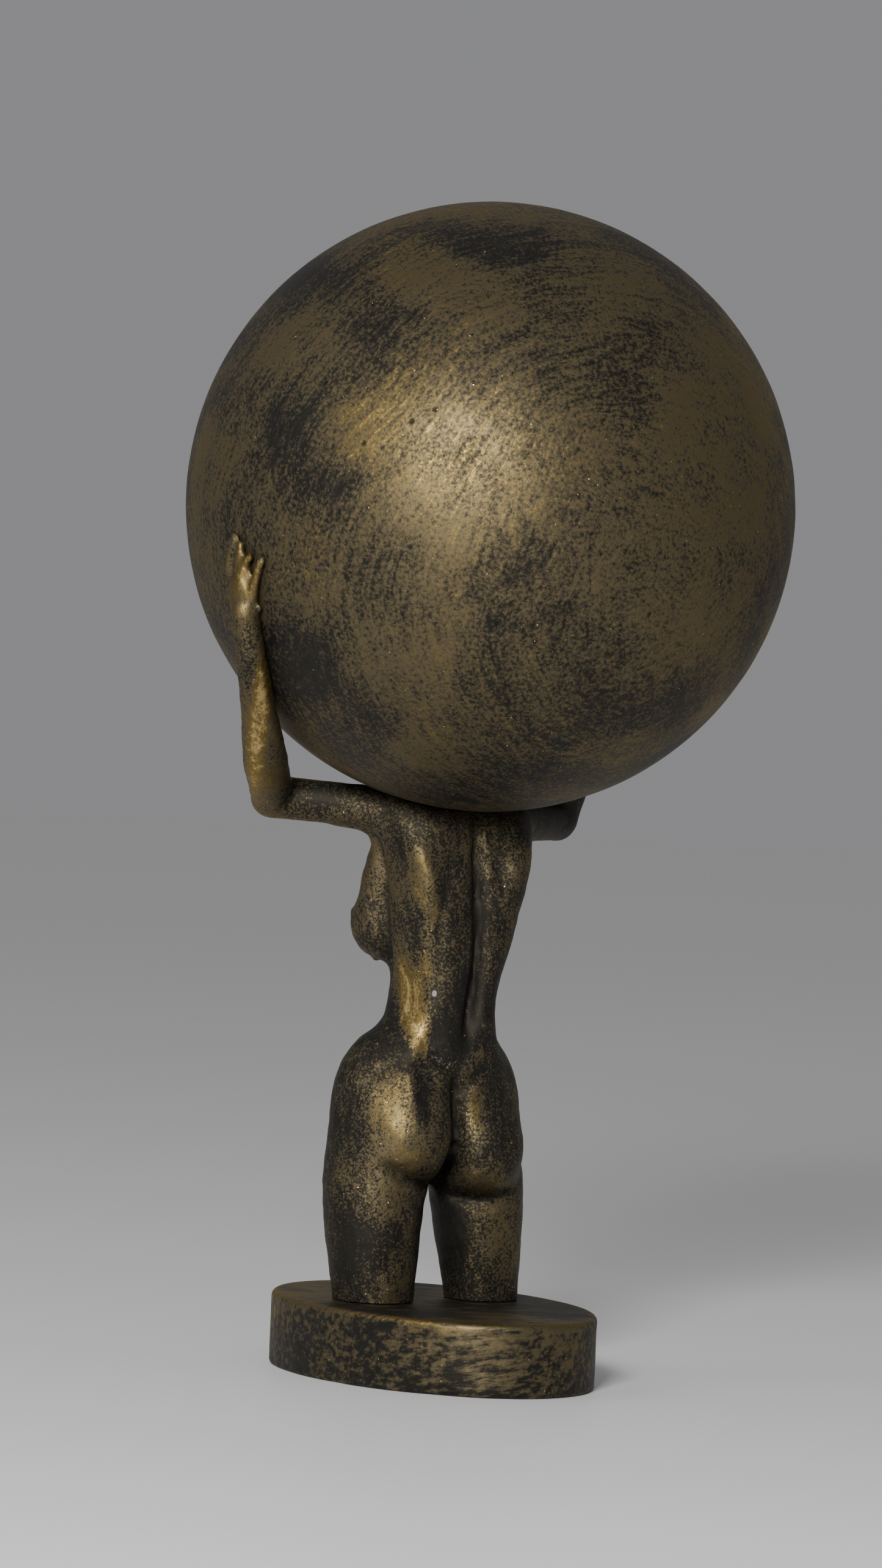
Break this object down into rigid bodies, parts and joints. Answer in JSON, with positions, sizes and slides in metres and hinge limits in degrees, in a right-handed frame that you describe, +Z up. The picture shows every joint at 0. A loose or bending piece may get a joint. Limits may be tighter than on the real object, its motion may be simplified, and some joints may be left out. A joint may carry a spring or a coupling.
{
  "type": "atlas statue",
  "caption": "Cast statuette of a headless nude female figure, cut off at mid-thigh on an oval plinth, holding a large plain globe on its raised arms and shoulders.",
  "frame": {"origin": "on the ground under the globe's centre, at the bottom middle of the overall box", "axes": "+Z up; the figure faces -Y and its left side is +X; the picture was taken from behind and to its left"},
  "size_m": [0.1515, 0.15, 0.29],
  "materials": {
    "globe_finish": "near-black paint dry-brushed with old gold, satin",
    "figure_finish": "near-black paint dry-brushed with old gold, satin",
    "plinth_finish": "near-black paint dry-brushed with old gold, satin"
  },
  "bodies": {
    "root": {"globe": "globe_finish", "figure": "figure_finish", "plinth": "plinth_finish"}
  },
  "joints": []
}
